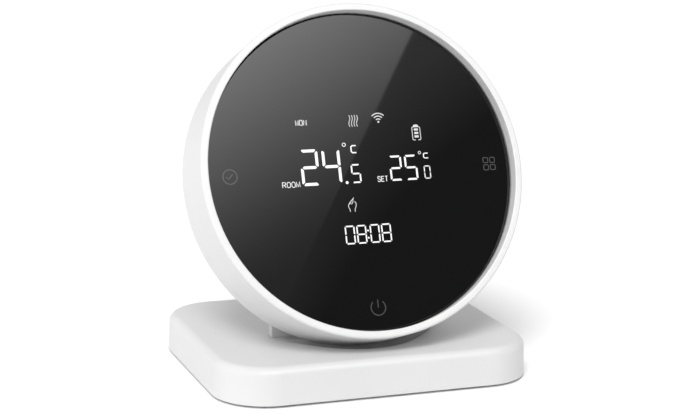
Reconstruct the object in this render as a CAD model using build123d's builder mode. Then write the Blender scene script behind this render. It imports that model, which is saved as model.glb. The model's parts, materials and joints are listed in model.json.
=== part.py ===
from build123d import *
from math import cos, pi, radians, sin, tan
import os

# Round rotary thermostat on its table stand.  Millimetres, +Z up, front towards -Y.
# The origin is on the table, under the middle of the base.

# ---- Stand: driving dimensions ----
BASE_WIDTH = 97.5
BASE_DEPTH = 77.5
BASE_HEIGHT = 10.9          # white shell alone, without the feet
BASE_CORNER = 16.0
BASE_DRAFT = 1.8            # degrees, sides lean in towards the top
BASE_EDGE = 2.4             # soft top edge
FOOT_GAP = 0.8              # the shell stands this far off the table
WALL = 2.0
ROOF = 2.2
FLOOR_THICKNESS = 1.6
BALLAST_THICKNESS = 2.0
FOOT_RADIUS = 5.5
FOOT_HEIGHT = 1.6
UPRIGHT_WIDTH = 52.0
UPRIGHT_THICKNESS = 2.6
UPRIGHT_FRONT_Y = -8.0      # front face of the upright's vertical stretch
UPRIGHT_FOOT_LENGTH = 24.0
UPRIGHT_TOP = -1.0          # top edge, measured up the face from its centre
UPRIGHT_CORNER = 12.0
UPRIGHT_EDGE = 0.5
FOOT_BEND = 1.0             # inner radii of the upright's two bends
FACE_BEND = 8.0

# ---- Head: driving dimensions ----
TILT = 21.4                 # degrees, the face leans back
FACE_Y = -13.7              # centre of the glass front
FACE_Z = 62.2
GLASS_RADIUS = 47.3
RING_RADIUS = 50.0
RING_BORE = 47.75
RING_LIP = 3.2              # the lip stands this far in front of the glass
RING_DEPTH = 18.6           # the wall reaches this far behind the glass front
REAR_BORE = 48.2
DRUM_RADIUS = 44.0
DRUM_WALL = 1.6
REAR_RADIUS = 44.0          # raised middle of the rear housing
REAR_PLATE_RADIUS = 47.6
CRADLE_RADIUS = 52.1        # hollow in the base that the ring sits in, coaxial with it
CRADLE_LINING = 1.4

# ---- Layers, measured forward from the glass front along the face normal ----
GLASS_BACK = -1.8
FLANGE_FRONT = -2.2
FLANGE_BACK = -3.7
BOARD_FRONT = -5.6
BOARD_BACK = -7.0
SHOULDER_FRONT = -9.9
SHOULDER_BACK = -11.4
WASHER_BACK = -11.9
GEAR_FRONT = -12.0
GEAR_BACK = -14.0
RETAINER_FRONT = -14.1
RETAINER_BACK = -15.3
REAR_PLATE_FRONT = -17.0
REAR_PLATE_BACK = -18.6
REAR_INNER = -18.4          # inside of the raised middle
REAR_BACK = -20.0           # outermost rear face
UPRIGHT_FACE = -20.4        # the upright's slanted front face
CRADLE_BACK = -19.8

# ---- Gear pair: internal ring gear and encoder pinion ----
MODULE = 1.0
RING_TEETH = 92
PINION_TEETH = 28
RING_PITCH = MODULE * RING_TEETH / 2
PINION_PITCH = MODULE * PINION_TEETH / 2
PINION_V = -(RING_PITCH - PINION_PITCH)
FLANK = tan(radians(20))
PINION_SHAFT = 1.5
SHAFT_CLEARANCE = 0.05

# ---- Batteries (AAA) and their tray, in face coordinates ----
CELL_RADIUS = 5.25
CELL_LENGTH = 44.5
CELL_DEPTH = -13.42
TRAY_LOW, TRAY_HIGH = 5.2, 27.6
TRAY_HALF = 25.0
TRAY_WALL = 1.2
TRAY_FLOOR = -8.1
CELL_V = (TRAY_LOW + CELL_RADIUS + 0.25, TRAY_HIGH - CELL_RADIUS - 0.25)
CONTACT_THICKNESS = 0.3     # contact plate at each end of the tray
DOOR_LOW, DOOR_HIGH = 3.3, 30.1
DOOR_HALF = 26.6
DOOR_GAP = 0.3
DOOR_FRONT = -18.9
DOOR_AXIS_V = 4.1
DOOR_AXIS_H = -19.2
DOOR_PIN = 0.5

# ---- Fastener patterns ----
FLOOR_POINTS = [(sx * 41.0, sy * 12.0) for sx in (-1, 1) for sy in (-1, 1)]
FOOT_POINTS = [(sx * 36.5, sy * 27.0) for sx in (-1, 1) for sy in (-1, 1)]
UPRIGHT_POINTS = [(-18.0, 6.0), (18.0, 6.0), (0.0, 11.0)]
STUD_POINTS = [(-16.0, -14.0), (16.0, -14.0)]
STUD_DROP = 8.0             # from the hung position down to the keyhole's entry
PILLAR_POINTS = [(sx * 35.0, sy * 12.9) for sx in (-1, 1) for sy in (-1, 1)]
RETAINER_POINTS = [(sx * 30.3, sy * 27.3) for sx in (-1, 1) for sy in (-1, 1)]
BOARD_POINTS = [(sx * 16.0, sy * 34.0) for sx in (-1, 1) for sy in (-1, 1)]
TOUCH_POINTS = [(-39.6, 0.0), (39.6, 0.0), (0.0, -39.6)]

FACE = Plane(
    origin=(0, FACE_Y, FACE_Z),
    x_dir=(1, 0, 0),
    z_dir=(0, -cos(radians(TILT)), sin(radians(TILT))),
)
FACE_AXIS = Axis(FACE.origin, FACE.z_dir)
UP_THE_FACE = Axis(FACE.origin, FACE.y_dir)
BASE_TOP = FOOT_GAP + BASE_HEIGHT
BASE_INNER = BASE_TOP - ROOF
FLOOR_TOP = FOOT_GAP + FLOOR_THICKNESS
BALLAST_TOP = FLOOR_TOP + BALLAST_THICKNESS
UPRIGHT_FOOT_Z = 4.9
UPRIGHT_FOOT_TOP = UPRIGHT_FOOT_Z + UPRIGHT_THICKNESS


def layer(height):
    """Plane across the head, at a height in front of the glass front."""
    return FACE.offset(height)


def disc(radius, front, back, mode=Mode.ADD):
    """Coaxial disc of the head between two layers."""
    with BuildSketch(layer(back)) as outline:
        Circle(radius)
    extrude(outline.sketch, amount=front - back, mode=mode)


def tube(outer, inner, front, back, mode=Mode.ADD):
    """Coaxial ring of the head between two layers."""
    with BuildSketch(layer(back)) as outline:
        Circle(outer)
        Circle(inner, mode=Mode.SUBTRACT)
    extrude(outline.sketch, amount=front - back, mode=mode)


def posts(points, radius, front, back, mode=Mode.ADD):
    """Round posts or holes at points of the face, between two layers."""
    with BuildSketch(layer(back)) as outline:
        with Locations(*points):
            Circle(radius)
    extrude(outline.sketch, amount=front - back, mode=mode)


def block(centre, width, height, front, back, corner=0.0, mode=Mode.ADD):
    """Rectangular block or hole at a point of the face, between two layers."""
    with BuildSketch(layer(back)) as outline:
        with Locations(centre):
            if corner:
                RectangleRounded(width, height, corner)
            else:
                Rectangle(width, height)
    extrude(outline.sketch, amount=front - back, mode=mode)


def holes(seat, points, radius, depth, mode=Mode.SUBTRACT):
    """Round holes, or with Mode.ADD round bosses, from a level plane upwards."""
    with BuildSketch(seat) as outline:
        with Locations(*points):
            Circle(radius)
    extrude(outline.sketch, amount=depth, mode=mode)


def screws(seat, points, side, head_radius, head_height, shank_radius, shank_length):
    """Pan-head screws: the head stands on the seat plane's given side, the shank opposite."""
    holes(seat, points, head_radius, side * head_height, Mode.ADD)
    holes(seat, points, shank_radius, -side * shank_length, Mode.ADD)
    with BuildSketch(seat.offset(side * head_height)) as recess:
        with Locations(*points):
            Rectangle(1.3 * head_radius, 0.32 * head_radius)
            Rectangle(0.32 * head_radius, 1.3 * head_radius)
    extrude(recess.sketch, amount=-side * 0.55 * head_height, mode=Mode.SUBTRACT)


def save(builder, name):
    """Label a finished piece and write its STEP file."""
    builder.part.label = name
    export_step(builder.part, f"parts/{name}.step")


os.makedirs("parts", exist_ok=True)

# ======== Stand ========

# Cradle lining: the wall under the hollow, kept inside the shell.
lining_plane = layer(CRADLE_BACK - CRADLE_LINING)
lining_length = abs(CRADLE_BACK - CRADLE_LINING)
lining_drum = extrude(lining_plane * Circle(CRADLE_RADIUS + CRADLE_LINING), amount=lining_length)
inside_box = Pos(0, 0, BASE_INNER + ROOF / 2) * Box(
    BASE_WIDTH - 2 * WALL, BASE_DEPTH - 2 * WALL, BASE_HEIGHT,
    align=(Align.CENTER, Align.CENTER, Align.MAX),
)
cradle_lining = lining_drum & inside_box

with BuildPart() as base_shell:
    with BuildSketch(Plane.XY.offset(FOOT_GAP)):
        RectangleRounded(BASE_WIDTH, BASE_DEPTH, BASE_CORNER)
    extrude(amount=BASE_HEIGHT, taper=BASE_DRAFT)
    fillet(base_shell.faces().sort_by(Axis.Z)[-1].edges(), BASE_EDGE)
    with BuildSketch(Plane.XY.offset(FOOT_GAP)):
        RectangleRounded(BASE_WIDTH - 2 * WALL, BASE_DEPTH - 2 * WALL, BASE_CORNER - WALL)
    extrude(amount=BASE_HEIGHT - ROOF, taper=BASE_DRAFT, mode=Mode.SUBTRACT)
    add(cradle_lining)
    disc(CRADLE_RADIUS, 0, CRADLE_BACK, Mode.SUBTRACT)
    # Bosses for the floor's screws and for the upright's foot.
    floor_seat = Plane.XY.offset(FLOOR_TOP)
    foot_seat = Plane.XY.offset(UPRIGHT_FOOT_TOP)
    holes(floor_seat, FLOOR_POINTS, 2.8, BASE_INNER + ROOF / 2 - FLOOR_TOP, Mode.ADD)
    holes(foot_seat, UPRIGHT_POINTS, 3.0, BASE_INNER + ROOF / 2 - UPRIGHT_FOOT_TOP, Mode.ADD)
    holes(floor_seat, FLOOR_POINTS, 0.9, 6.0)
    holes(foot_seat, UPRIGHT_POINTS, 0.9, 3.2)
    # Slot that the upright comes out of.
    with BuildSketch(Plane.XY.offset(BASE_INNER - 1)):
        with Locations((0, UPRIGHT_FRONT_Y + UPRIGHT_THICKNESS / 2)):
            RectangleRounded(UPRIGHT_WIDTH + 0.5, UPRIGHT_THICKNESS + 0.5, 0.8)
    extrude(amount=ROOF + 2, mode=Mode.SUBTRACT)
save(base_shell, "base_shell")

with BuildPart() as base_floor:
    inset = WALL + 0.25
    with BuildSketch(Plane.XY.offset(FOOT_GAP)):
        RectangleRounded(BASE_WIDTH - 2 * inset, BASE_DEPTH - 2 * inset, BASE_CORNER - inset)
    extrude(amount=FLOOR_THICKNESS)
    underside = Plane.XY.offset(FOOT_GAP)
    holes(underside, FOOT_POINTS, FOOT_RADIUS, FOOT_HEIGHT - FOOT_GAP)
    holes(underside, FLOOR_POINTS, 2.5, FOOT_HEIGHT - FOOT_GAP)
    holes(underside, FLOOR_POINTS, 1.1, FLOOR_THICKNESS)
save(base_floor, "base_floor")

with BuildPart() as ballast_plate:
    with BuildSketch(Plane.XY.offset(FLOOR_TOP)):
        RectangleRounded(70, 62, 8)
        with Locations(*UPRIGHT_POINTS):
            Circle(3.0, mode=Mode.SUBTRACT)
    extrude(amount=BALLAST_THICKNESS)
save(ballast_plate, "ballast_plate")

with BuildPart() as rubber_feet:
    with BuildSketch():
        with Locations(*FOOT_POINTS):
            Circle(FOOT_RADIUS - 0.1)
    extrude(amount=FOOT_HEIGHT)
    chamfer(rubber_feet.edges().group_by(Axis.Z)[0], 0.3)
save(rubber_feet, "rubber_feet")

with BuildPart() as base_screws:
    screws(Plane.XY.offset(FOOT_HEIGHT), FLOOR_POINTS, -1, 2.2, 0.7, 0.9, 6.2)
save(base_screws, "base_screws")

# Upright: one bent plate, from its foot under the roof up behind the head.
face_cos = cos(radians(TILT))
face_sin = sin(radians(TILT))


def slanted_y(depth, z):
    """Y of the plane parallel to the face, at a depth, where it passes a height z."""
    return FACE_Y - (depth - (z - FACE_Z) * face_sin) / face_cos


def slanted_z(depth, y):
    """Z of the plane parallel to the face, at a depth, where it passes a given y."""
    return FACE_Z + (depth + (y - FACE_Y) * face_cos) / face_sin


upright_back_y = UPRIGHT_FRONT_Y + UPRIGHT_THICKNESS
upright_rear_face = UPRIGHT_FACE - UPRIGHT_THICKNESS
top_front_z = FACE_Z + UPRIGHT_FACE * face_sin + UPRIGHT_TOP * face_cos
top_rear_z = FACE_Z + upright_rear_face * face_sin + UPRIGHT_TOP * face_cos

with BuildPart() as stand_upright:
    with BuildSketch(Plane.YZ) as upright_profile:
        with BuildLine():
            FilletPolyline(
                (UPRIGHT_FRONT_Y, UPRIGHT_FOOT_Z),
                (UPRIGHT_FRONT_Y, slanted_z(UPRIGHT_FACE, UPRIGHT_FRONT_Y)),
                (slanted_y(UPRIGHT_FACE, top_front_z), top_front_z),
                (slanted_y(upright_rear_face, top_rear_z), top_rear_z),
                (upright_back_y, slanted_z(upright_rear_face, upright_back_y)),
                (upright_back_y, UPRIGHT_FOOT_TOP),
                (UPRIGHT_FRONT_Y + UPRIGHT_FOOT_LENGTH, UPRIGHT_FOOT_TOP),
                (UPRIGHT_FRONT_Y + UPRIGHT_FOOT_LENGTH, UPRIGHT_FOOT_Z),
                radius=(
                    FOOT_BEND + UPRIGHT_THICKNESS, FACE_BEND, 0, 0,
                    FACE_BEND + UPRIGHT_THICKNESS, FOOT_BEND, 0, 0,
                ),
                close=True,
            )
        make_face()
    extrude(amount=UPRIGHT_WIDTH / 2, both=True)
    top_corners = stand_upright.edges().filter_by(FACE_AXIS).group_by(UP_THE_FACE)[-1]
    fillet(top_corners, UPRIGHT_CORNER)
    side_faces = stand_upright.faces().group_by(Axis.X)
    side_edges = (side_faces[0] + side_faces[-1]).edges()
    fillet(side_edges.filter_by_position(Axis.Z, UPRIGHT_FOOT_TOP + 2, FACE_Z), UPRIGHT_EDGE)
    holes(Plane.XY.offset(UPRIGHT_FOOT_Z), UPRIGHT_POINTS, 1.1, UPRIGHT_THICKNESS)
    posts(STUD_POINTS, 1.5, UPRIGHT_FACE, upright_rear_face, Mode.SUBTRACT)
save(stand_upright, "stand_upright")

with BuildPart() as upright_screws:
    screws(Plane.XY.offset(UPRIGHT_FOOT_Z), UPRIGHT_POINTS, -1, 2.3, 1.4, 0.9, 5.7)
save(upright_screws, "upright_screws")

# Shouldered studs that the head hangs on, riveted through the upright.
with BuildPart() as dock_studs:
    posts(STUD_POINTS, 3.2, REAR_INNER + 1.3, REAR_INNER + 0.1)
    posts(STUD_POINTS, 1.75, REAR_INNER + 0.1, UPRIGHT_FACE)
    posts(STUD_POINTS, 1.5, UPRIGHT_FACE, upright_rear_face)
    posts(STUD_POINTS, 2.6, upright_rear_face, upright_rear_face - 0.8)
save(dock_studs, "dock_studs")

# ======== Rotating ring ========

LIP_ROUND = 1.3

with BuildPart() as dial_ring:
    tube(RING_RADIUS, RING_BORE, RING_LIP, GEAR_FRONT)
    tube(RING_RADIUS, REAR_BORE, GEAR_FRONT, -RING_DEPTH)
    lip_edges = dial_ring.edges().filter_by(GeomType.CIRCLE).group_by(FACE_AXIS)[-1]
    fillet(lip_edges.sort_by(SortBy.RADIUS)[-1], LIP_ROUND)
    fillet(lip_edges.sort_by(SortBy.RADIUS)[0], 0.35)
    rear_edges = dial_ring.edges().filter_by(GeomType.CIRCLE).group_by(FACE_AXIS)[0]
    fillet(rear_edges.sort_by(SortBy.RADIUS)[-1], 0.6)
save(dial_ring, "dial_ring")


SPACE_AT_PITCH = MODULE * pi / 2 + 0.1
TOOTH_AT_PITCH = MODULE * pi / 2 - 0.27
space_tip, space_root = RING_PITCH - 1.0, RING_PITCH + 1.05
with BuildPart() as ring_gear:
    with BuildSketch(layer(GEAR_BACK)):
        Circle(REAR_BORE)
        Circle(RING_PITCH - 0.9, mode=Mode.SUBTRACT)
        with PolarLocations(0, RING_TEETH):
            Polygon(
                (-SPACE_AT_PITCH / 2 - FLANK, -space_tip),
                (SPACE_AT_PITCH / 2 + FLANK, -space_tip),
                (SPACE_AT_PITCH / 2 - 1.05 * FLANK, -space_root),
                (1.05 * FLANK - SPACE_AT_PITCH / 2, -space_root),
                align=None,
                mode=Mode.SUBTRACT,
            )
    extrude(amount=GEAR_FRONT - GEAR_BACK)
save(ring_gear, "ring_gear")

# ======== Encoder pinion ========

pinion_tip, pinion_root = PINION_PITCH + 0.85, PINION_PITCH - 1.15
pinion_centre = (0, PINION_V)
with BuildPart() as encoder_pinion:
    with BuildSketch(layer(GEAR_BACK + 0.1)):
        with Locations(pinion_centre):
            Circle(pinion_root)
            with PolarLocations(0, PINION_TEETH):
                Polygon(
                    (-TOOTH_AT_PITCH / 2 - 1.4 * FLANK, 1.4 - PINION_PITCH),
                    (TOOTH_AT_PITCH / 2 + 1.4 * FLANK, 1.4 - PINION_PITCH),
                    (TOOTH_AT_PITCH / 2 - 0.85 * FLANK, -pinion_tip),
                    (0.85 * FLANK - TOOTH_AT_PITCH / 2, -pinion_tip),
                    align=None,
                )
        with Locations(pinion_centre):
            with PolarLocations(8.0, 6):
                Circle(2.2, mode=Mode.SUBTRACT)
    extrude(amount=GEAR_FRONT - GEAR_BACK - 0.1)
    posts([pinion_centre], 3.0, GEAR_FRONT + 0.9, GEAR_FRONT)
    posts([pinion_centre], PINION_SHAFT, -8.6, GEAR_FRONT + 0.9)
    posts([pinion_centre], PINION_SHAFT, GEAR_BACK + 0.1, -16.0)
save(encoder_pinion, "encoder_pinion")

# ======== Head: display, electronics and chassis ========

with BuildPart() as front_glass:
    disc(GLASS_RADIUS, 0, GLASS_BACK)
    glass_front = front_glass.edges().filter_by(GeomType.CIRCLE).group_by(FACE_AXIS)[-1]
    chamfer(glass_front, 0.2)
save(front_glass, "front_glass")

with BuildPart() as glass_gasket:
    tube(GLASS_RADIUS - 0.1, 44.4, GLASS_BACK, FLANGE_FRONT)
save(glass_gasket, "glass_gasket")

BOX_WIDTH, BOX_HEIGHT = 62.0, 52.0
PILLAR_END = -12.0
with BuildPart() as chassis:
    disc(RING_BORE - 0.1, FLANGE_FRONT, FLANGE_BACK)
    tube(DRUM_RADIUS, DRUM_RADIUS - DRUM_WALL, FLANGE_BACK, RETAINER_FRONT)
    tube(RING_BORE - 0.1, DRUM_RADIUS - 0.5, SHOULDER_FRONT, SHOULDER_BACK)
    posts(PILLAR_POINTS, 2.8, FLANGE_BACK, PILLAR_END)
    posts(RETAINER_POINTS, 2.4, BOARD_BACK - 1.5, RETAINER_FRONT)
    with BuildSketch(layer(RETAINER_FRONT)) as webs:
        for px, pv in RETAINER_POINTS:
            reach = Edge.make_line((px, pv), (px * 1.04, pv * 1.04))
            with Locations(reach.center()):
                Circle(2.0)
    extrude(webs.sketch, amount=BOARD_BACK - 1.5 - RETAINER_FRONT)
    posts(BOARD_POINTS, 2.4, FLANGE_BACK, BOARD_FRONT)
    block((0, 0), BOX_WIDTH + 1, BOX_HEIGHT + 1, FLANGE_FRONT, FLANGE_BACK, 2.0, Mode.SUBTRACT)
    posts(TOUCH_POINTS, 2.65, FLANGE_FRONT, FLANGE_BACK, Mode.SUBTRACT)
    posts(PILLAR_POINTS, 0.9, -5.0, PILLAR_END, Mode.SUBTRACT)
    posts(RETAINER_POINTS, 0.8, BOARD_BACK - 2.0, RETAINER_FRONT, Mode.SUBTRACT)
    posts(BOARD_POINTS, 0.9, FLANGE_BACK - 0.2, BOARD_FRONT, Mode.SUBTRACT)
    # Window that the pinion reaches the ring gear through.
    block((0, -42.5), 28.0, 8.0, WASHER_BACK + 0.2, RETAINER_FRONT, mode=Mode.SUBTRACT)
save(chassis, "chassis")

with BuildPart() as light_box:
    block((0, 0), BOX_WIDTH, BOX_HEIGHT, FLANGE_FRONT, BOARD_FRONT, 1.5)
    cells = [
        ((-19.5, 17.5), 15.0, 7.0),
        ((-0.5, 17.5), 9.0, 7.0),
        ((11.0, 17.5), 9.0, 7.0),
        ((22.5, 14.5), 8.0, 10.0),
        ((-13.0, 3.0), 29.0, 16.0),
        ((14.5, 2.0), 21.0, 14.0),
        ((0.0, -8.5), 8.0, 5.5),
        ((0.0, -18.0), 30.0, 9.0),
    ]
    for centre, width, height in cells:
        block(centre, width, height, FLANGE_FRONT, BOARD_FRONT, 0.8, Mode.SUBTRACT)
save(light_box, "light_box")

with BuildPart() as diffuser_film:
    block((0, 0), BOX_WIDTH, BOX_HEIGHT, FLANGE_FRONT + 0.3, FLANGE_FRONT, 1.5)
save(diffuser_film, "diffuser_film")

with BuildPart() as main_board:
    disc(41.0, BOARD_FRONT, BOARD_BACK)
    posts(PILLAR_POINTS, 3.1, BOARD_FRONT, BOARD_BACK, Mode.SUBTRACT)
    posts(RETAINER_POINTS, 2.9, BOARD_FRONT, BOARD_BACK, Mode.SUBTRACT)
    posts(BOARD_POINTS, 1.2, BOARD_FRONT, BOARD_BACK, Mode.SUBTRACT)
save(main_board, "main_board")

LED_SIZE, LED_HEIGHT = (2.0, 1.2), 0.7
with BuildPart() as display_leds:
    with BuildSketch(layer(BOARD_FRONT)):
        for centre, width, height in cells:
            columns = max(1, round(width / 7.5))
            with Locations(centre):
                with GridLocations(width / columns, 1, columns, 1):
                    Rectangle(*LED_SIZE)
    extrude(amount=LED_HEIGHT)
save(display_leds, "display_leds")

with BuildPart() as board_screws:
    screws(layer(BOARD_BACK), BOARD_POINTS, -1, 2.0, 1.2, 0.9, 3.0)
save(board_screws, "board_screws")

with BuildPart() as touch_pads:
    posts(TOUCH_POINTS, 2.4, GLASS_BACK, BOARD_FRONT)
save(touch_pads, "touch_pads")

with BuildPart() as wifi_module:
    block((-22.0, -9.0), 16.0, 12.0, BOARD_BACK, BOARD_BACK - 0.8)
    block((-20.5, -9.0), 11.5, 10.5, BOARD_BACK - 0.8, BOARD_BACK - 2.6, 0.6)
save(wifi_module, "wifi_module")

with BuildPart() as controller_chip:
    block((19.0, -9.0), 9.0, 9.0, BOARD_BACK, BOARD_BACK - 1.3)
    chamfer(controller_chip.edges().group_by(FACE_AXIS)[0], 0.25)
save(controller_chip, "controller_chip")

with BuildPart() as buzzer:
    posts([(24.5, -21.5)], 4.5, BOARD_BACK, BOARD_BACK - 4.0)
    posts([(24.5, -21.5)], 1.0, BOARD_BACK - 3.2, BOARD_BACK - 4.0, Mode.SUBTRACT)
save(buzzer, "buzzer")

with BuildPart() as temperature_sensor:
    posts([(-29.3, -19.6), (-26.7, -19.6)], 0.3, BOARD_BACK, BOARD_BACK - 4.0)
    block((-28.0, -19.6), 4.0, 2.2, BOARD_BACK - 4.0, BOARD_BACK - 6.4, 0.9)
save(temperature_sensor, "temperature_sensor")

with BuildPart() as encoder_body:
    block(pinion_centre, 12.0, 12.0, BOARD_BACK, BOARD_BACK - 3.9, 1.0)
    posts([pinion_centre], PINION_SHAFT + SHAFT_CLEARANCE, -8.3, BOARD_BACK - 3.9, Mode.SUBTRACT)
save(encoder_body, "encoder_body")

with BuildPart() as slip_washer:
    tube(RING_BORE - 0.25, DRUM_RADIUS + 0.3, SHOULDER_BACK, WASHER_BACK)
save(slip_washer, "slip_washer")

with BuildPart() as ring_retainer:
    tube(RING_BORE, DRUM_RADIUS - DRUM_WALL - 1.0, RETAINER_FRONT, RETAINER_BACK)
    posts(RETAINER_POINTS, 2.6, RETAINER_FRONT, RETAINER_BACK)
    posts(RETAINER_POINTS, 1.0, RETAINER_FRONT, RETAINER_BACK, Mode.SUBTRACT)
save(ring_retainer, "ring_retainer")

with BuildPart() as retainer_screws:
    screws(layer(RETAINER_BACK), RETAINER_POINTS, -1, 1.9, 0.9, 0.8, 5.5)
save(retainer_screws, "retainer_screws")

# ======== Head: rear housing, batteries and their door ========

tray_v = (TRAY_LOW + TRAY_HIGH) / 2
tray_height = TRAY_HIGH - TRAY_LOW
tray_width = 2 * TRAY_HALF
door_v = (DOOR_LOW + DOOR_HIGH) / 2
door_height = DOOR_HIGH - DOOR_LOW
door_pocket = (2 * (DOOR_HALF + DOOR_GAP), door_height + 2 * DOOR_GAP)
keyhole_v = STUD_POINTS[0][1] - STUD_DROP / 2
keyhole_points = [(px, keyhole_v) for px, _ in STUD_POINTS]
SKIRT = (44.3, 42.9)

with BuildPart() as rear_housing:
    disc(REAR_PLATE_RADIUS, REAR_PLATE_FRONT, REAR_PLATE_BACK)
    disc(REAR_RADIUS, REAR_PLATE_BACK, REAR_BACK)
    rear_rim = rear_housing.edges().filter_by(GeomType.CIRCLE).group_by(FACE_AXIS)[0]
    fillet(rear_rim, 0.9)
    disc(SKIRT[1], REAR_PLATE_FRONT, REAR_INNER, Mode.SUBTRACT)
    tube(SKIRT[0], SKIRT[1], RETAINER_BACK, REAR_PLATE_FRONT)
    # Battery tray, with the door's recess and the door hinge's groove.
    block((0, tray_v), tray_width + 2 * TRAY_WALL, tray_height + 2 * TRAY_WALL,
          TRAY_FLOOR + 0.5, REAR_INNER)
    block((0, door_v), door_pocket[0] + 3.6, door_pocket[1] + 2.4, REAR_INNER + 1.2, REAR_INNER)
    block((0, tray_v), tray_width, tray_height, TRAY_FLOOR, REAR_BACK, 1.0, Mode.SUBTRACT)
    block((0, door_v), *door_pocket, DOOR_FRONT + 0.05, REAR_BACK, 0.8, Mode.SUBTRACT)
    # Tubes for the housing screws, and the pinion's rear bearing.
    posts(PILLAR_POINTS, 3.4, PILLAR_END, REAR_INNER)
    posts(PILLAR_POINTS, 1.2, PILLAR_END, REAR_BACK, Mode.SUBTRACT)
    posts(PILLAR_POINTS, 2.5, -14.0, REAR_BACK, Mode.SUBTRACT)
    posts([pinion_centre], 3.0, -14.3, REAR_INNER)
    posts([pinion_centre], PINION_SHAFT + SHAFT_CLEARANCE, -14.3, -16.3, Mode.SUBTRACT)
    # Keyholes: a pocket behind each, a round entry low down and a narrow slot above it.
    for centre in keyhole_points:
        block(centre, 9.6, 18.4, -15.6, REAR_INNER, 2.0)
        block(centre, 7.6, 16.4, -16.6, REAR_INNER, 1.5, Mode.SUBTRACT)
    with BuildSketch(layer(REAR_BACK)) as keyholes:
        with Locations(*keyhole_points):
            SlotCenterToCenter(STUD_DROP, 4.0, rotation=90)
        with Locations(*[(px, pv - STUD_DROP / 2) for px, pv in keyhole_points]):
            Circle(3.6)
    extrude(keyholes.sketch, amount=REAR_INNER - REAR_BACK, mode=Mode.SUBTRACT)
    # Vents above the door and along the bottom.
    with BuildSketch(layer(REAR_BACK)) as vents:
        with Locations((0, 36.0), (0, -38.0)):
            with GridLocations(4.0, 1, 7, 1):
                SlotOverall(5.0, 1.4, rotation=90)
    extrude(vents.sketch, amount=REAR_INNER - REAR_BACK, mode=Mode.SUBTRACT)
    # Door hinge: a groove across the recess and a blind hole at each end.
    hinge_start = Plane(
        origin=FACE.from_local_coords((-DOOR_HALF - DOOR_GAP, DOOR_AXIS_V, DOOR_AXIS_H)),
        x_dir=FACE.y_dir,
        z_dir=FACE.x_dir,
    )
    with BuildSketch(hinge_start) as groove:
        Circle(0.95)
    extrude(groove.sketch, amount=door_pocket[0], mode=Mode.SUBTRACT)
    with BuildSketch(hinge_start.offset(-1.4)) as pin_holes:
        Circle(DOOR_PIN + SHAFT_CLEARANCE)
    extrude(pin_holes.sketch, amount=door_pocket[0] + 2.8, mode=Mode.SUBTRACT)
save(rear_housing, "rear_housing")

with BuildPart() as battery_door:
    block((0, door_v + 0.4), 2 * DOOR_HALF, door_height - 0.8, DOOR_FRONT, REAR_BACK)
    upper_corners = battery_door.edges().filter_by(FACE_AXIS).group_by(UP_THE_FACE)[-1]
    fillet(upper_corners, 0.8)
    door_start = hinge_start.offset(DOOR_GAP)
    with BuildSketch(door_start) as knuckle:
        Circle(0.8)
    extrude(knuckle.sketch, amount=2 * DOOR_HALF)
    with BuildSketch(door_start.offset(-1.2)) as pins:
        Circle(DOOR_PIN)
    extrude(pins.sketch, amount=2 * DOOR_HALF + 2.4)
    # Latch tongue and the thumb grooves above it.
    block((0, TRAY_HIGH - 0.6), 9.0, 0.9, DOOR_FRONT + 1.3, DOOR_FRONT)
    with BuildSketch(layer(REAR_BACK)) as grooves:
        with Locations((0, DOOR_HIGH - 5.0)):
            with GridLocations(1, 1.6, 1, 4):
                SlotOverall(12.0, 0.8)
    extrude(grooves.sketch, amount=0.4, mode=Mode.SUBTRACT)
save(battery_door, "battery_door")

with BuildPart() as housing_screws:
    screws(layer(-14.0), PILLAR_POINTS, -1, 2.2, 1.3, 0.9, 7.5)
save(housing_screws, "housing_screws")


def cross_plane(x, v):
    """Plane across the batteries' axis, facing +X, at a place in the tray."""
    return Plane(
        origin=FACE.from_local_coords((x, v, CELL_DEPTH)), x_dir=FACE.y_dir, z_dir=FACE.x_dir
    )


# Two cells, nose to tail; each nose meets a plain contact, each tail a spring.
NOSE_LENGTH = 1.0
SPRING_LENGTH = 2 * TRAY_HALF - 2 * CONTACT_THICKNESS - CELL_LENGTH
TAIL_X = TRAY_HALF - CONTACT_THICKNESS - SPRING_LENGTH
with BuildPart() as battery_cells:
    for way, cell_v in zip((1, -1), CELL_V):
        can_end = cross_plane(way * (CELL_LENGTH - NOSE_LENGTH - TAIL_X), cell_v)
        with BuildSketch(can_end) as can:
            Circle(CELL_RADIUS)
        extrude(can.sketch, amount=-way * (CELL_LENGTH - NOSE_LENGTH))
        with BuildSketch(can_end) as nose:
            Circle(1.9)
        extrude(nose.sketch, amount=way * NOSE_LENGTH)
save(battery_cells, "battery_cells")

# Conical coils, closed up turn on turn.
SPRING_WIRE = 0.46
SPRING_TURNS = 6
with BuildPart() as battery_springs:
    for way, cell_v in zip((1, -1), CELL_V):
        pitch = (SPRING_LENGTH - 2 * SPRING_WIRE) / (SPRING_TURNS - 1)
        with BuildSketch(layer(CELL_DEPTH)) as turns:
            for turn in range(SPRING_TURNS):
                turn_x = -way * (TAIL_X + SPRING_WIRE + turn * pitch)
                with Locations((turn_x, cell_v + 2.0 + 0.3 * turn)):
                    Circle(SPRING_WIRE)
        cell_axis = Axis(FACE.from_local_coords((0, cell_v, CELL_DEPTH)), FACE.x_dir)
        revolve(turns.sketch, axis=cell_axis)
save(battery_springs, "battery_springs")

with BuildPart() as contact_plates:
    with BuildSketch(cross_plane(-TRAY_HALF, tray_v)) as bridge:
        Rectangle(tray_height - 2.4, 8.0)
    extrude(bridge.sketch, amount=CONTACT_THICKNESS)
    for cell_v in CELL_V:
        with BuildSketch(cross_plane(TRAY_HALF, cell_v)) as plate:
            Rectangle(8.6, 8.0)
        extrude(plate.sketch, amount=-CONTACT_THICKNESS)
save(contact_plates, "contact_plates")
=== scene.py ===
import json
from math import cos, hypot, pi, radians, sin

import bmesh
import bpy
from mathutils import Matrix, Vector


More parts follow.
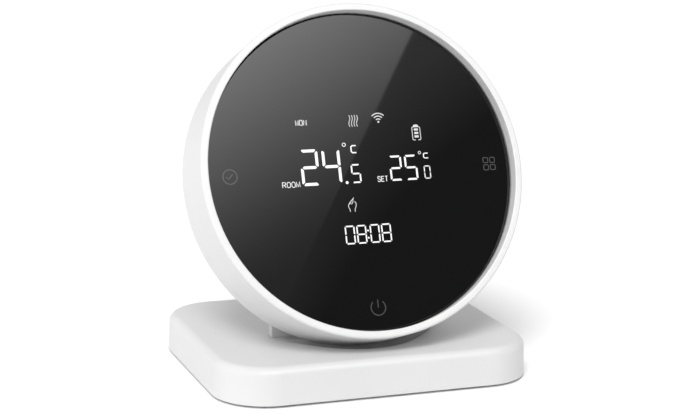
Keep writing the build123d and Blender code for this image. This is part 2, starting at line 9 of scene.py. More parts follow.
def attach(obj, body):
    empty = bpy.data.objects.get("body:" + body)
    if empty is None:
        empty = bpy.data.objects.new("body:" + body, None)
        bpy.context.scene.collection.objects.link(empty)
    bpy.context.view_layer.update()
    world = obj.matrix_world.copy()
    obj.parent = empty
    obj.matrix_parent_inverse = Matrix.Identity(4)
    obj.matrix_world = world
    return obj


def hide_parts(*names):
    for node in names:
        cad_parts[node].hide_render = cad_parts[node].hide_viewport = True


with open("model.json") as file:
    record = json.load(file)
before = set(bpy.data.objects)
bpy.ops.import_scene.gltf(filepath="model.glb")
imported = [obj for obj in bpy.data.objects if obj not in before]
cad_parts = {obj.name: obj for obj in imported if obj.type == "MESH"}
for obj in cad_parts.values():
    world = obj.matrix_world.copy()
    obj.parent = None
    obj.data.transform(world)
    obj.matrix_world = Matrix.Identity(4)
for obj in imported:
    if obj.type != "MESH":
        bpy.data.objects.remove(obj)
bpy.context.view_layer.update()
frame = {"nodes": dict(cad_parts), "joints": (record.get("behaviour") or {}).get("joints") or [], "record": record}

# Looks of a round rotary thermostat on its stand.  Blender units are metres; the face's own
# drawings are in millimetres, x to the right and v up the face, from the middle of the glass.
nodes = frame["nodes"]
MM = 0.001

# ---- The face's own axes, from the joint that the ring turns on ----
ring_joint = next(j for j in frame["joints"] if j["name"] == "ring_turn")
FACE_CENTRE = Vector(ring_joint["pos_m"])
FACE_OUT = Vector(ring_joint["axis"]).normalized()
FACE_UP = (Vector((0, 0, 1)) - FACE_OUT * FACE_OUT.z).normalized()
FACE_RIGHT = FACE_UP.cross(FACE_OUT)
FACE = Matrix.Translation(FACE_CENTRE) @ Matrix((FACE_RIGHT, FACE_UP, FACE_OUT)).transposed().to_4x4()
FACE_MM = FACE @ Matrix.Scale(MM, 4)


def face_extent(node):
    """Least and greatest radius, then lowest and highest point, about the face's axis, in mm."""
    inverse = FACE_MM.inverted()
    points = [inverse @ v.co for v in nodes[node].data.vertices]
    radii = [hypot(p.x, p.y) for p in points]
    heights = [p.z for p in points]
    return min(radii), max(radii), min(heights), max(heights)


# ======== Materials ========


def principled(name, colour, roughness, metallic=0.0, ior=1.46, specular=0.5):
    """A new node material with a Principled shader; gives back the material, its node tree and the shader."""
    material = bpy.data.materials.new(name)
    material.use_nodes = True
    tree = material.node_tree
    shader = tree.nodes["Principled BSDF"]
    shader.inputs["Base Color"].default_value = (*colour, 1)
    shader.inputs["Roughness"].default_value = roughness
    shader.inputs["Metallic"].default_value = metallic
    shader.inputs["IOR"].default_value = ior
    shader.inputs["Specular IOR Level"].default_value = specular
    return material, tree, shader


def coordinates(tree, stretch=(1, 1, 1)):
    """Object coordinates, stretched, as an output socket."""
    source = tree.nodes.new("ShaderNodeTexCoord")
    mapping = tree.nodes.new("ShaderNodeMapping")
    mapping.inputs["Scale"].default_value = stretch
    tree.links.new(source.outputs["Object"], mapping.inputs["Vector"])
    return mapping.outputs["Vector"]


def noise(tree, vector, scale, detail=3.0):
    """A noise texture's value, as an output socket."""
    texture = tree.nodes.new("ShaderNodeTexNoise")
    texture.inputs["Scale"].default_value = scale
    texture.inputs["Detail"].default_value = detail
    tree.links.new(vector, texture.inputs["Vector"])
    return texture.outputs["Fac"]


def ramp(tree, value, low, high, start=0.3, end=0.7):
    """A value between start and end mapped to a number between low and high."""
    spread = tree.nodes.new("ShaderNodeMapRange")
    spread.inputs["From Min"].default_value = start
    spread.inputs["From Max"].default_value = end
    spread.inputs["To Min"].default_value = low
    spread.inputs["To Max"].default_value = high
    tree.links.new(value, spread.inputs["Value"])
    return spread.outputs["Result"]


def blend_colours(tree, value, first, second):
    """A colour between two, by a value from 0 to 1."""
    mix = tree.nodes.new("ShaderNodeMix")
    mix.data_type = "RGBA"
    factor, colour_a, colour_b = mix.inputs[0], mix.inputs[6], mix.inputs[7]
    colour_a.default_value = (*first, 1)
    colour_b.default_value = (*second, 1)
    tree.links.new(value, factor)
    return mix.outputs[2]


def bump(tree, shader, height, distance, strength=1.0):
    """Relief of a height value on the shader."""
    relief = tree.nodes.new("ShaderNodeBump")
    relief.inputs["Strength"].default_value = strength
    relief.inputs["Distance"].default_value = distance
    tree.links.new(height, relief.inputs["Height"])
    tree.links.new(relief.outputs["Normal"], shader.inputs["Normal"])


def moulded(name, colour, roughness, grain=2600.0, depth=0.000006, stain=0.97, **more):
    """Moulded plastic or rubber: fine grain, slightly uneven gloss, and a faint tone drift."""
    material, tree, shader = principled(name, colour, roughness, **more)
    place = coordinates(tree)
    fine = noise(tree, place, grain)
    broad = noise(tree, place, 38.0, 2.0)
    tree.links.new(ramp(tree, broad, roughness * 0.9, roughness * 1.12), shader.inputs["Roughness"])
    darker = tuple(c * stain for c in colour)
    tone = blend_colours(tree, ramp(tree, broad, 0.0, 1.0), darker, colour)
    tree.links.new(tone, shader.inputs["Base Color"])
    bump(tree, shader, fine, depth)
    return material


def metal(name, colour, roughness, stretch=(1, 1, 1), depth=0.000004):
    """Plated or brushed metal with fine marks and uneven gloss."""
    material, tree, shader = principled(name, colour, roughness, metallic=1.0)
    place = coordinates(tree, stretch)
    marks = noise(tree, place, 1900.0, 4.0)
    tree.links.new(ramp(tree, marks, roughness * 0.7, roughness * 1.5), shader.inputs["Roughness"])
    tone = blend_colours(tree, ramp(tree, marks, 0, 1), tuple(c * 0.82 for c in colour), colour)
    tree.links.new(tone, shader.inputs["Base Color"])
    bump(tree, shader, marks, depth)
    return material


def black_glass():
    """Polished glass, printed black on its back: nearly all gloss."""
    material, tree, shader = principled("black_glass", (0.0016, 0.0017, 0.0019), 0.018, ior=1.5)
    smear = noise(tree, coordinates(tree), 24.0, 2.0)
    tree.links.new(ramp(tree, smear, 0.012, 0.03), shader.inputs["Roughness"])
    return material


def lit(name, strength):
    """A lit display field seen through the glass: it glows, and it is as glossy as the glass."""
    material, tree, shader = principled(name, (0.002, 0.002, 0.002), 0.02, ior=1.5)
    shader.inputs["Emission Color"].default_value = (1.0, 1.0, 1.0, 1)
    level = noise(tree, coordinates(tree), 260.0, 1.0)
    tree.links.new(ramp(tree, level, strength * 0.94, strength), shader.inputs["Emission Strength"])
    return material


def key_print():
    """Dim grey print of the touch keys under the glass."""
    material, tree, shader = principled("key_print", (0.062, 0.063, 0.064), 0.02, ior=1.5)
    level = ramp(tree, noise(tree, coordinates(tree), 900.0, 1.0), 0.0, 1.0)
    tone = blend_colours(tree, level, (0.056, 0.057, 0.058), (0.068, 0.069, 0.07))
    tree.links.new(tone, shader.inputs["Base Color"])
    return material


def circuit_board():
    """Green solder mask over faint copper tracks."""
    material, tree, shader = principled("circuit_board", (0.02, 0.13, 0.05), 0.35)
    place = coordinates(tree, (1, 0.9, 1.4))
    tracks = tree.nodes.new("ShaderNodeTexBrick")
    tracks.inputs["Scale"].default_value = 160.0
    tracks.inputs["Mortar Size"].default_value = 0.035
    tracks.inputs["Color1"].default_value = (0.015, 0.115, 0.045, 1)
    tracks.inputs["Color2"].default_value = (0.02, 0.14, 0.055, 1)
    tracks.inputs["Mortar"].default_value = (0.05, 0.22, 0.09, 1)
    tree.links.new(place, tracks.inputs["Vector"])
    tree.links.new(tracks.outputs["Color"], shader.inputs["Base Color"])
    bump(tree, shader, tracks.outputs["Fac"], 0.00002)
    return material


JACKET_SPLIT, JACKET_SEAM = 0.0075, 0.0003      # metres along X from the middle, and the change's width


def battery_jacket(name="battery_jacket", way=1):
    """Printed sleeve in two plain tones, the paler one towards the cell's positive end."""
    material, tree, shader = principled(name, (0.05, 0.12, 0.09), 0.28)
    source = tree.nodes.new("ShaderNodeTexCoord")
    split = tree.nodes.new("ShaderNodeSeparateXYZ")
    tree.links.new(source.outputs["Object"], split.inputs["Vector"])
    meet, change = way * JACKET_SPLIT, way * (JACKET_SPLIT + JACKET_SEAM)
    side = ramp(tree, split.outputs["X"], 0.0, 1.0, meet, change)
    tone = blend_colours(tree, side, (0.028, 0.075, 0.055), (0.62, 0.6, 0.55))
    tree.links.new(tone, shader.inputs["Base Color"])
    bump(tree, shader, noise(tree, coordinates(tree), 900.0), 0.000004)
    return material


MATERIALS = {
    "base_white": moulded("base_white", (0.66, 0.663, 0.66), 0.42),
    "ring_white": moulded("ring_white", (0.695, 0.697, 0.694), 0.36),
    "housing_white": moulded("housing_white", (0.7, 0.703, 0.697), 0.55, 1700.0, 0.00002),
    "grey_plastic": moulded("grey_plastic", (0.5, 0.5, 0.49), 0.55, 1500.0, 0.00002),
    "zinc_steel": metal("zinc_steel", (0.62, 0.63, 0.65), 0.36, (1, 0.1, 1)),
    "screw_steel": metal("screw_steel", (0.56, 0.57, 0.58), 0.28),
    "black_rubber": moulded("black_rubber", (0.022, 0.022, 0.022), 0.8, 900.0, 0.00003, 0.7),
    "black_glass": black_glass(),
    "black_plastic": moulded("black_plastic", (0.006, 0.006, 0.006), 0.6, specular=0.12),
    "reflector_white": moulded("reflector_white", (0.85, 0.85, 0.84), 0.6),
    "printed_film": moulded("printed_film", (0.05, 0.05, 0.052), 0.4),
    "circuit_board": circuit_board(),
    "display_light": lit("display_light", 1.15),
    "conductive_foam": moulded("conductive_foam", (0.05, 0.05, 0.052), 0.9, 1400.0, 0.00005),
    "chip_black": moulded("chip_black", (0.02, 0.02, 0.022), 0.45),
    "natural_acetal": moulded("natural_acetal", (0.72, 0.7, 0.64), 0.38),
    "battery_jacket": battery_jacket(),
    "nickel_contact": metal("nickel_contact", (0.74, 0.72, 0.67), 0.2, depth=0.000002),
}
for subpart in frame["record"]["subparts"]:
    for seat in nodes[subpart["node"]].material_slots:
        seat.material = MATERIALS[subpart["material_slot"]]


# ======== Mesh helpers ========


def piece(name, builder, place, body, slot, material=None, replaced=()):
    """Turn a bmesh into a finished piece that rides on a body."""
    mesh = bpy.data.meshes.new(name)
    bmesh.ops.recalc_face_normals(builder, faces=builder.faces)
    builder.transform(place)
    builder.to_mesh(mesh)
    builder.free()
    made = bpy.data.objects.new(name, mesh)
    bpy.context.scene.collection.objects.link(made)
    mesh.materials.append(material or MATERIALS[slot])
    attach(made, body)
    if replaced:
        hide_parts(*replaced)
    return made


def smooth_by_angle(made, degrees=32.0):
    """Smooth shading, with an edge kept sharp where its faces turn more than an angle."""
    mesh = made.data
    mesh.polygons.foreach_set("use_smooth", [True] * len(mesh.polygons))
    builder = bmesh.new()
    builder.from_mesh(mesh)
    for edge in builder.edges:
        edge.smooth = len(edge.link_faces) == 2 and edge.calc_face_angle(0.0) < radians(degrees)
    builder.to_mesh(mesh)
    builder.free()


def arc(centre, radius, start, end, count=24):
    """Points of an arc, from one angle to another, in degrees from the first axis."""
    turns = [radians(start + (end - start) * k / count) for k in range(count + 1)]
    return [(centre[0] + radius * cos(t), centre[1] + radius * sin(t)) for t in turns]


def rounded(centre, radius, start, end, count, lead=0.04):
    """A rounded edge of a profile, with a short straight lead at each end that keeps the flats flat."""
    points = arc(centre, radius, start, end, count)
    sense = 1 if end > start else -1
    leads = []
    for point, turn, way in ((points[0], start, -sense), (points[-1], end, sense)):
        t = radians(turn)
        leads.append((point[0] - way * lead * sin(t), point[1] + way * lead * cos(t)))
    return [leads[0], *points, leads[1]]


def lathe(builder, profile, steps=288, closed=True):
    """Revolve (radius, height) points about Z; an open profile ends on the axis at both ends."""
    rings = []
    for radius, height in profile:
        if radius == 0:
            rings.append([builder.verts.new((0, 0, height))])
            continue
        turns = [2 * pi * k / steps for k in range(steps)]
        rings.append([builder.verts.new((radius * cos(t), radius * sin(t), height)) for t in turns])
    pairs = list(zip(rings, rings[1:] + rings[:1])) if closed else list(zip(rings, rings[1:]))
    for low, high in pairs:
        for k in range(steps):
            after = (k + 1) % steps
            if len(low) == 1 and len(high) == 1:
                continue
            if len(low) == 1:
                builder.faces.new((low[0], high[after], high[k]))
            elif len(high) == 1:
                builder.faces.new((low[k], low[after], high[0]))
            else:
                builder.faces.new((low[k], low[after], high[after], high[k]))


def tube(builder, path, radius, sides=12):
    """A round wire along points, closed at both ends."""
    rings = []
    normal = None
    for k, point in enumerate(path):
        ahead = (path[min(k + 1, len(path) - 1)] - path[max(k - 1, 0)]).normalized()
        normal = (normal or ahead.orthogonal()).copy()
        normal = (normal - ahead * normal.dot(ahead)).normalized()
        across = ahead.cross(normal)
        ring = []
        for s in range(sides):
            turn = 2 * pi * s / sides
            ring.append(builder.verts.new(point + radius * (cos(turn) * normal + sin(turn) * across)))
        rings.append(ring)
    for low, high in zip(rings, rings[1:]):
        for s in range(sides):
            after = (s + 1) % sides
            builder.faces.new((low[s], low[after], high[after], high[s]))
    builder.faces.new(rings[0])
    builder.faces.new(rings[-1])


# ======== Flat drawings on the glass ========

ART_LOW, ART_HIGH = -0.03, 0.02     # the print's layer about the glass front


def plate(builder, outline):
    """A flat shape of the drawing, as thick as the art's layer."""
    low = [builder.verts.new((x, v, ART_LOW)) for x, v in outline]
    high = [builder.verts.new((x, v, ART_HIGH)) for x, v in outline]
    builder.faces.new(list(reversed(low)))
    builder.faces.new(high)
    for k in range(len(outline)):
        after = (k + 1) % len(outline)
        builder.faces.new((low[k], low[after], high[after], high[k]))


def stroke(builder, points, width, closed=False):
    """A drawn line of even width through points, with mitred corners."""
    path = [Vector(p) for p in points]
    count = len(path)
    left, right = [], []
    for k, point in enumerate(path):
        before = path[k - 1] if closed or k else None
        after = path[(k + 1) % count] if closed or k < count - 1 else None
        way_in = (point - before).normalized() if before else (after - point).normalized()
        way_out = (after - point).normalized() if after else way_in
        along = (way_in + way_out).normalized()
        side = Vector((-along.y, along.x))
        reach = width / 2 / max(0.5, side.dot(Vector((-way_in.y, way_in.x))))
        left.append(point + side * reach)
        right.append(point - side * reach)
    left_low, left_high, right_low, right_high = (
        [builder.verts.new((*p, height)) for p in row]
        for row in (left, right) for height in (ART_LOW, ART_HIGH)
    )
    for k in range(count if closed else count - 1):
        after = (k + 1) % count
        builder.faces.new((left_high[k], left_high[after], right_high[after], right_high[k]))
        builder.faces.new((left_low[k], right_low[k], right_low[after], left_low[after]))
        builder.faces.new((left_low[k], left_low[after], left_high[after], left_high[k]))
        builder.faces.new((right_low[k], right_high[k], right_high[after], right_low[after]))
    if not closed:
        for k in (0, count - 1):
            builder.faces.new((left_low[k], left_high[k], right_high[k], right_low[k]))


def circle(centre, radius, sides):
    """Points all round a circle, the first one not repeated."""
    return arc(centre, radius, 0, 360 * (sides - 1) / sides, sides - 1)


def dot(builder, centre, radius):
    """A filled round dot."""
    plate(builder, circle(centre, radius, 20))


def ring_mark(builder, centre, radius, width):
    """A drawn circle."""
    stroke(builder, circle(centre, radius, 32), width, closed=True)


# The lit segments of each digit: a at the top, then clockwise to f, with g in the middle.
SEGMENTS = {"0": "abcdef", "2": "abged", "4": "fgbc", "5": "afgcd", "8": "abcdefg"}


# A segment's corners, in half widths: its outer ends, the points at its ends, and its inner ends.
OUTER_INSET, POINT_INSET, POINT_OUT, INNER_INSET = 0.62, 0.04, 0.35, 1.25


def digit(builder, character, left, right, low, high, width):
    """A seven-segment digit between its centre lines, with mitred ends and narrow gaps."""
    middle = (low + high) / 2
    ends = {
        # letter: start, end, and the way into the digit
        "a": ((left, high), (right, high), (0, -1)),
        "b": ((right, high), (right, middle), (-1, 0)),
        "c": ((right, middle), (right, low), (-1, 0)),
        "d": ((left, low), (right, low), (0, 1)),
        "e": ((left, middle), (left, low), (1, 0)),
        "f": ((left, high), (left, middle), (1, 0)),
        "g": ((left, middle), (right, middle), (0, 0)),
    }
    half, gap = width / 2, 0.08 + 0.06 * width
    for letter in SEGMENTS[character]:
        start, end, inward = (Vector(p) for p in ends[letter])
        along = (end - start).normalized()
        at_rim = inward.length > 0
        side = inward if at_rim else Vector((0, 1))
        outer_inset, point_out = (OUTER_INSET, POINT_OUT) if at_rim else (1.0, 0.0)
        start, end = start + along * gap, end - along * gap
        plate(builder, [
            start + half * (along * POINT_INSET - side * point_out),
            start + half * (along * outer_inset - side),
            end - half * (along * outer_inset + side),
            end - half * (along * POINT_INSET + side * point_out),
            end - half * (along * INNER_INSET - side),
            start + half * (along * INNER_INSET + side),
        ])


# The strokes of each capital, in a square from (0, 0) to (1, 1).
LETTERS = {
    "M": [[(0, 0), (0, 1), (0.5, 0.1), (1, 1), (1, 0)]],
    "O": [[(0.25, 0), (0, 0.22), (0, 0.78), (0.25, 1), (0.75, 1), (1, 0.78), (1, 0.22), (0.75, 0),
           (0.25, 0)]],
    "N": [[(0, 0), (0, 1), (1, 0), (1, 1)]],
    "R": [[(0, 0), (0, 1), (0.75, 1), (1, 0.84), (1, 0.64), (0.75, 0.5), (0, 0.5)],
          [(0.55, 0.5), (1, 0)]],
    "S": [[(1, 0.8), (0.78, 1), (0.22, 1), (0, 0.8), (0.05, 0.6), (0.95, 0.4), (1, 0.2), (0.78, 0),
           (0.22, 0), (0, 0.2)]],
    "E": [[(1, 1), (0, 1), (0, 0), (1, 0)], [(0, 0.52), (0.85, 0.52)]],
    "T": [[(0, 1), (1, 1)], [(0.5, 1), (0.5, 0)]],
    "C": [[(1, 1), (0.25, 1), (0, 0.82), (0, 0.18), (0.25, 0), (1, 0)]],
}
LETTER_SHARE = 0.72     # a letter's width as a share of the pitch; the rest is the gap


def word(builder, text, left, right, low, high, width):
    """Capitals drawn in plain strokes, spread evenly between two ends."""
    pitch = (right - left) / (len(text) - 1 + LETTER_SHARE)
    for k, letter in enumerate(text):
        for line in LETTERS[letter]:
            start = left + k * pitch
            points = [(start + x * LETTER_SHARE * pitch, low + v * (high - low)) for x, v in line]
            stroke(builder, points, width)


# ---- Digits: the room's 24.5, the set 25 and its small 0, and the clock's 08:08 ----
ROW_LOW = -3.4
digits = bmesh.new()
for character, left in (("2", -18.7), ("4", -11.9)):
    digit(digits, character, left, left + 4.7, ROW_LOW, 6.5, 0.86)
dot(digits, (-5.35, ROW_LOW - 0.05), 0.44)
digit(digits, "5", -3.5, -1.0, ROW_LOW - 0.1, 1.7, 0.46)
for character, left in (("2", 8.75), ("5", 13.65)):
    digit(digits, character, left, left + 3.35, ROW_LOW, 3.6, 0.57)
digit(digits, "0", 19.45, 21.25, ROW_LOW, 0.25, 0.3)
CLOCK_LOW, CLOCK_HIGH = -21.5, -16.4
for character, left in (("0", -7.5), ("8", -3.9), ("0", 0.25), ("8", 3.85)):
    digit(digits, character, left, left + 2.65, CLOCK_LOW, CLOCK_HIGH, 0.41)
for v in (-17.95, -20.1):
    dot(digits, (-0.55, v), 0.28)
piece("display_digits", digits, FACE_MM, "head", "display_light")

# ---- Units and words ----
words = bmesh.new()
ring_mark(words, (-5.1, 7.85), 0.5, 0.2)
word(words, "C", -3.0, -1.45, 5.35, 7.45, 0.36)
ring_mark(words, (18.5, 4.4), 0.4, 0.15)
word(words, "C", 19.7, 21.1, 2.7, 4.15, 0.28)
word(words, "MON", -19.3, -15.95, 14.15, 15.7, 0.17)
word(words, "ROOM", -25.25, -19.95, -4.0, -2.45, 0.18)
word(words, "SET", 4.35, 7.5, -3.65, -2.15, 0.19)
piece("display_words", words, FACE_MM, "head", "display_light")

# ---- Symbols: warm air, wireless, battery, hand ----
THIN_LINE = 0.19
symbols = bmesh.new()
WAVE_LOW, WAVE_HEIGHT, WAVE_SWAY, WAVE_STEPS = 13.15, 3.45, 0.24, 16
for left in (-2.55, -1.75, -0.95, -0.15):
    shares = [k / WAVE_STEPS for k in range(WAVE_STEPS + 1)]
    wave = [(left - WAVE_SWAY * sin(2 * pi * share), WAVE_LOW + WAVE_HEIGHT * share) for share in shares]
    stroke(symbols, wave, THIN_LINE)
dot(symbols, (6.55, 14.25), 0.31)
for radius in (0.95, 1.8, 2.65):
    stroke(symbols, arc((6.55, 14.2), radius, 135, 45, 14), 0.3)
BATTERY_MIDDLE, BATTERY_HALF, BATTERY_LOW, BATTERY_HIGH = 18.225, 1.275, 8.3, 12.2
for side in (-1, 1):
    edge = BATTERY_MIDDLE + side * BATTERY_HALF
    stroke(symbols, [
        (BATTERY_MIDDLE + side * 0.95, BATTERY_HIGH),
        (edge, BATTERY_HIGH - 0.15),
        (edge, BATTERY_LOW + 0.25),
        (edge - side * 0.25, BATTERY_LOW),
        (edge - side * 0.85, BATTERY_LOW),
    ], 0.22)
CAP = [(1.0, -0.05), (0.85, 0.35), (0.5, 0.75)]     # right half of the battery's cap, from its foot up
plate(symbols, [
    (BATTERY_MIDDLE + side * x, BATTERY_HIGH + v)
    for side, half in ((1, CAP), (-1, CAP[::-1])) for x, v in half
])
BAR_CORNERS = ((-0.65, -0.32), (0.65, -0.32), (0.65, 0.32), (-0.65, 0.32))
BAR_TOP, BAR_PITCH = BATTERY_HIGH - 0.75, 1.05
for bar in range(3):
    v = BAR_TOP - BAR_PITCH * bar
    plate(symbols, [(BATTERY_MIDDLE + x, v + rise) for x, rise in BAR_CORNERS])
HAND = [
    [(-5.3, -12.15), (-5.4, -11.4), (-5.75, -10.7), (-5.7, -10.1), (-5.2, -9.4), (-4.5, -8.7),
     (-3.85, -8.0)],
    [(-5.35, -9.9), (-4.95, -9.3), (-4.7, -8.75)],
    [(-4.9, -9.85), (-4.5, -9.7), (-4.25, -9.2), (-4.1, -8.4)],
    [(-3.85, -12.15), (-3.75, -11.3), (-3.35, -10.5), (-3.3, -9.7), (-3.7, -9.1)],
]
for line in HAND:
    stroke(symbols, line, THIN_LINE)
piece("display_symbols", symbols, FACE_MM, "head", "display_light", lit("display_symbol_light", 0.85))

# ---- Touch keys: confirm, menu, power ----
KEY_REACH, KEY_LINE = 40.7, 0.32
MENU_OFFSET, MENU_CORNER, MENU_ROUND = 1.1, 0.42, 0.36     # to a square's middle; its rounded corners
keys = bmesh.new()
ring_mark(keys, (-KEY_REACH, 0), 2.12, KEY_LINE)
stroke(keys, [(-KEY_REACH - 1.2, 0.0), (-KEY_REACH - 0.4, -0.62), (-KEY_REACH + 0.85, 0.78)], KEY_LINE)
for x in (-MENU_OFFSET, MENU_OFFSET):
    for v in (-MENU_OFFSET, MENU_OFFSET):
        square = []
        for turn, (sign_x, sign_v) in enumerate(((1, 1), (-1, 1), (-1, -1), (1, -1))):
            centre = (KEY_REACH + x + sign_x * MENU_CORNER, v + sign_v * MENU_CORNER)
            square += arc(centre, MENU_ROUND, 90 * turn, 90 * turn + 90, 5)
        stroke(keys, square, 0.3, closed=True)
stroke(keys, arc((0, -KEY_REACH), 2.25, 132, 408, 40), KEY_LINE)
stroke(keys, [(0, -KEY_REACH + 2.3), (0, -KEY_REACH - 0.05)], KEY_LINE)
piece("touch_key_symbols", keys, FACE_MM, "head", "printed_film", key_print())

# ======== Turned shells: ring and glass ========

LIP_ROUND, BORE_ROUND, REAR_ROUND = 0.75, 0.35, 0.6     # radii of the ring's edges, in mm
STEP_HEIGHT, STEP_WIDTH = -12.0, 0.45       # the bore widens behind this layer, for the gear
bore, outer, rear, lip = face_extent("dial_ring")
ring_profile = (
    rounded((outer - LIP_ROUND, lip - LIP_ROUND), LIP_ROUND, 0, 90, 12)
    + rounded((bore + BORE_ROUND, lip - BORE_ROUND), BORE_ROUND, 90, 180, 8)
    + [(bore, STEP_HEIGHT), (bore + STEP_WIDTH, STEP_HEIGHT), (bore + STEP_WIDTH, rear)]
    + rounded((outer - REAR_ROUND, rear + REAR_ROUND), REAR_ROUND, -90, 0, 8)
)
ring_mesh = bmesh.new()
lathe(ring_mesh, ring_profile)
ring_cover = piece("ring_cover", ring_mesh, FACE_MM, "ring", "ring_white", replaced=["dial_ring"])
smooth_by_angle(ring_cover)

GLASS_ROUND = 0.25
_, glass_edge, glass_back, glass_front = face_extent("front_glass")
glass_profile = (
    [(0, glass_front), (glass_edge * 0.5, glass_front)]
    + rounded((glass_edge - GLASS_ROUND, glass_front - GLASS_ROUND), GLASS_ROUND, 90, 0, 8)
    + [(glass_edge, glass_back), (glass_edge * 0.5, glass_back), (0, glass_back)]
)
glass_mesh = bmesh.new()
lathe(glass_mesh, glass_profile, closed=False)
glass_panel = piece("glass_panel", glass_mesh, FACE_MM, "head", "black_glass", replaced=["front_glass"])
smooth_by_angle(glass_panel)

# ======== Batteries and their springs ========


def along_x(point, way):
    """Matrix that lays a turned piece along the cells, its +Z end to one side, in mm."""
    turn = Matrix.Rotation(way * pi / 2, 4, "Y")
    return FACE_MM @ Matrix.Translation(Vector(point)) @ turn


CELL_RADIUS, CELL_LENGTH, CELL_ROUND = 5.25, 44.5, 0.45
PLATE_RADIUS = 3.2                                          # flat negative end
GROOVE_INNER, GROOVE_OUTER, GROOVE_DEPTH = 3.5, 4.6, 0.25   # round the negative end
BUTTON_RADIUS, BUTTON_HEIGHT, BUTTON_ROUND = 1.9, 1.0, 0.3
WELL_INNER, WELL_OUTER, WELL_DEPTH = 2.3, 4.4, 0.2          # round the foot of the button
cell_end = CELL_LENGTH / 2
shoulder = cell_end - BUTTON_HEIGHT
cell_profile = (
    [(0, -cell_end), (PLATE_RADIUS, -cell_end)]
    + [(radius, GROOVE_DEPTH - cell_end) for radius in (GROOVE_INNER, GROOVE_OUTER)]
    + rounded((CELL_RADIUS - CELL_ROUND, CELL_ROUND - cell_end), CELL_ROUND, -90, 0, 5)
    + rounded((CELL_RADIUS - CELL_ROUND, shoulder - CELL_ROUND), CELL_ROUND, 0, 90, 5)
    + [(radius, shoulder - WELL_DEPTH) for radius in (WELL_OUTER, WELL_INNER)]
    + [(BUTTON_RADIUS, shoulder)]
    + rounded((BUTTON_RADIUS - BUTTON_ROUND, cell_end - BUTTON_ROUND), BUTTON_ROUND, 0, 90, 4)
    + [(0, cell_end)]
)

inverse_face = FACE_MM.inverted()
cell_points = [inverse_face @ v.co for v in nodes["battery_cells"].data.vertices]
cell_low = min(p.y for p in cell_points) + CELL_RADIUS
cell_high = max(p.y for p in cell_points) - CELL_RADIUS
cell_depth = (min(p.z for p in cell_points) + max(p.z for p in cell_points)) / 2
cell_reach = max(p.x for p in cell_points)

SPRING_LENGTH = 2 * cell_reach - CELL_LENGTH
SPRING_TURNS, SPRING_STEPS, SPRING_WIRE = 5.5, 180, 0.3     # wire: its radius
SPRING_NARROW, SPRING_WIDE, SPRING_INSET = 2.0, 3.6, 0.4    # narrow at the cell, wide at the wall
for number, (way, v) in enumerate(((1, cell_low), (-1, cell_high)), 1):
    cell = bmesh.new()
    lathe(cell, cell_profile, steps=72, closed=False)
    middle_x = way * (cell_reach - cell_end)
    battery = piece(f"battery_{number}", cell, along_x((middle_x, v, cell_depth), way), "head",
                    "battery_jacket", battery_jacket(f"battery_jacket_{number}", way), ["battery_cells"])
    smooth_by_angle(battery)

    spring = bmesh.new()
    tail = middle_x - way * cell_end
    helix = []
    for k in range(SPRING_STEPS + 1):
        share = k / SPRING_STEPS
        angle = 2 * pi * SPRING_TURNS * share
        radius = SPRING_NARROW + (SPRING_WIDE - SPRING_NARROW) * share
        x = tail - way * (SPRING_INSET + (SPRING_LENGTH - 2 * SPRING_INSET) * share)
        helix.append(Vector((x, v + radius * cos(angle), cell_depth + radius * sin(angle))))
    tube(spring, helix, SPRING_WIRE)
    coil = piece(f"battery_spring_{number}", spring, FACE_MM, "head", "nickel_contact",
                 replaced=["battery_springs"])
    smooth_by_angle(coil, 60)

# ======== Floor, light and camera ========


def emitter(name, points, strength_nodes):
    """A flat light card between four corners, seen only in reflections."""
    mesh = bpy.data.meshes.new(name)
    mesh.from_pydata([tuple(p) for p in points], [], [(0, 1, 2, 3)])
    card = bpy.data.objects.new(name, mesh)
    bpy.context.scene.collection.objects.link(card)
    material = bpy.data.materials.new(name)
    material.use_nodes = True
    tree = material.node_tree
    tree.nodes.clear()
    out = tree.nodes.new("ShaderNodeOutputMaterial")
    glow = tree.nodes.new("ShaderNodeEmission")
    tree.links.new(glow.outputs["Emission"], out.inputs["Surface"])
    strength_nodes(tree, glow.inputs["Strength"])
    mesh.materials.append(material)
    card.visible_camera = False
    card.visible_diffuse = False
    card.visible_shadow = False


def direction(azimuth, elevation):
    """Unit vector towards a compass point: 0 is the front, -Y, and 90 the right, +X."""
    a, e = radians(azimuth), radians(elevation)
    return Vector((sin(a) * cos(e), -cos(a) * cos(e), sin(e)))


# Softbox that the glass shows: its straight right edge runs from low left to high right.
CARD_DISTANCE = 2.0                                 # all its lengths are in metres
CARD_EDGE = ((20.55, 26.35), (26.85, 32.85))        # azimuth and elevation of two points of the edge
CARD_LOW, CARD_HIGH, CARD_WIDTH = 0.6, 0.5, 1.4     # past those points, and away from the edge
GLOW_WAY = Vector((-0.35, 0, 1))                    # the card is brighter this way, up and to the left
FADE_START, FADE_END = 0.64, 1.29                   # along GLOW_WAY, from the middle of the face
CARD_DIM, CARD_BRIGHT = 0.42, 9.0                   # strength before the fade and after it
edge_low, edge_high = (FACE_CENTRE + CARD_DISTANCE * direction(*p) for p in CARD_EDGE)
edge_way = (edge_high - edge_low).normalized()
to_card = (edge_low - FACE_CENTRE).normalized()
leftward = edge_way.cross(to_card).normalized()
if leftward.x > 0:
    leftward = -leftward
corner_low, corner_high = edge_low - edge_way * CARD_LOW, edge_high + edge_way * CARD_HIGH


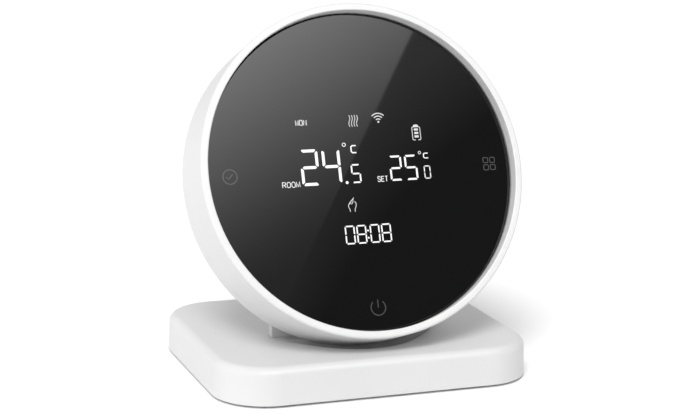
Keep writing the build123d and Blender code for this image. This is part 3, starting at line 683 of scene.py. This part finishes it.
def card_glow(tree, strength):
    """Strength that grows along GLOW_WAY, like a softbox lit from its top left."""
    place = tree.nodes.new("ShaderNodeTexCoord")
    along = tree.nodes.new("ShaderNodeVectorMath")
    along.operation = "DOT_PRODUCT"
    along.inputs[1].default_value = GLOW_WAY
    tree.links.new(place.outputs["Object"], along.inputs[0])
    fade = tree.nodes.new("ShaderNodeMapRange")
    fade.interpolation_type = "SMOOTHSTEP"
    fade.inputs["From Min"].default_value = GLOW_WAY.dot(FACE_CENTRE) + FADE_START
    fade.inputs["From Max"].default_value = GLOW_WAY.dot(FACE_CENTRE) + FADE_END
    fade.inputs["To Min"].default_value = CARD_DIM
    fade.inputs["To Max"].default_value = CARD_BRIGHT
    tree.links.new(along.outputs["Value"], fade.inputs["Value"])
    tree.links.new(fade.outputs["Result"], strength)


emitter("softbox_card", [
    corner_low, corner_high, corner_high + leftward * CARD_WIDTH, corner_low + leftward * CARD_WIDTH,
], card_glow)

# Wide, distant lights: the key from the upper left in front, and a weak low fill from the left.
LIGHTS = {
    # name: azimuth and elevation, strength, width in degrees
    "key_light": ((-30.0, 50.0), 2.05, 24.0),
    "fill_light": ((-75.0, 7.0), 0.7, 44.0),
}
for name, (way, level, width) in LIGHTS.items():
    light_data = bpy.data.lights.new(name, "SUN")
    light_data.energy = level
    light_data.angle = radians(width)
    light = bpy.data.objects.new(name, light_data)
    light.rotation_euler = direction(*way).to_track_quat("Z", "Y").to_euler()
    light.visible_camera = False
    light.visible_glossy = False
    bpy.context.scene.collection.objects.link(light)

# Room: even and pale, with a round dark zone in front on the right, which the glass reflects.
# The camera sees a plain white background.
ROOM_LEVEL, DARK_LEVEL, BACKGROUND_LEVEL = 0.62, 0.17, 1.0
DARK_WAY, DARK_INNER, DARK_OUTER = (33.8, 14.2), 15.9, 18.7    # its middle and radii, in degrees
world = bpy.data.worlds.new("studio")
world.use_nodes = True
bpy.context.scene.world = world
tree = world.node_tree
place = tree.nodes.new("ShaderNodeTexCoord")
near = tree.nodes.new("ShaderNodeVectorMath")
near.operation = "DOT_PRODUCT"
near.inputs[1].default_value = direction(*DARK_WAY)
tree.links.new(place.outputs["Generated"], near.inputs[0])
zone_edge, zone_core = cos(radians(DARK_OUTER)), cos(radians(DARK_INNER))
level = ramp(tree, near.outputs["Value"], ROOM_LEVEL, DARK_LEVEL, zone_edge, zone_core)
ray = tree.nodes.new("ShaderNodeLightPath")
choice = tree.nodes.new("ShaderNodeMix")
factor, value_a, value_b = choice.inputs[0], choice.inputs[2], choice.inputs[3]
value_b.default_value = BACKGROUND_LEVEL
tree.links.new(ray.outputs["Is Camera Ray"], factor)
tree.links.new(level, value_a)
tree.links.new(choice.outputs[0], tree.nodes["Background"].inputs["Strength"])
tree.nodes["Background"].inputs["Color"].default_value = (1, 1, 1, 1)

FLOOR_REACH = 5.0
floor_mesh = bpy.data.meshes.new("floor")
floor_corners = [(x * FLOOR_REACH, y * FLOOR_REACH, 0) for x, y in ((-1, -1), (1, -1), (1, 1), (-1, 1))]
floor_mesh.from_pydata(floor_corners, [], [(0, 1, 2, 3)])
floor = bpy.data.objects.new("floor", floor_mesh)
bpy.context.scene.collection.objects.link(floor)
floor_material, _, _ = principled("floor_white", (0.97, 0.97, 0.97), 0.9, specular=0.0)
floor_mesh.materials.append(floor_material)

# Camera, at the height and side that the object is seen from.
AIM = Vector((0.00455, 0.00857, 0.04527))
AZIMUTH, ELEVATION, ROLL = -20.616, 12.242, 1.118
DISTANCE, LENS = 0.5541, 92.48
camera_data = bpy.data.cameras.new("camera")
camera_data.lens = LENS
camera_data.sensor_width = 36.0
camera_data.clip_start, camera_data.clip_end = 0.01, 20.0
camera = bpy.data.objects.new("camera", camera_data)
back = direction(AZIMUTH, ELEVATION)
camera.location = AIM + back * DISTANCE
upright = back.to_track_quat("Z", "Y").to_matrix().to_4x4()
camera.rotation_euler = (upright @ Matrix.Rotation(radians(ROLL), 4, "Z")).to_euler()
bpy.context.scene.collection.objects.link(camera)
bpy.context.scene.camera = camera
bpy.context.scene.view_settings.view_transform = "Standard"
bpy.context.scene.view_settings.look = "None"
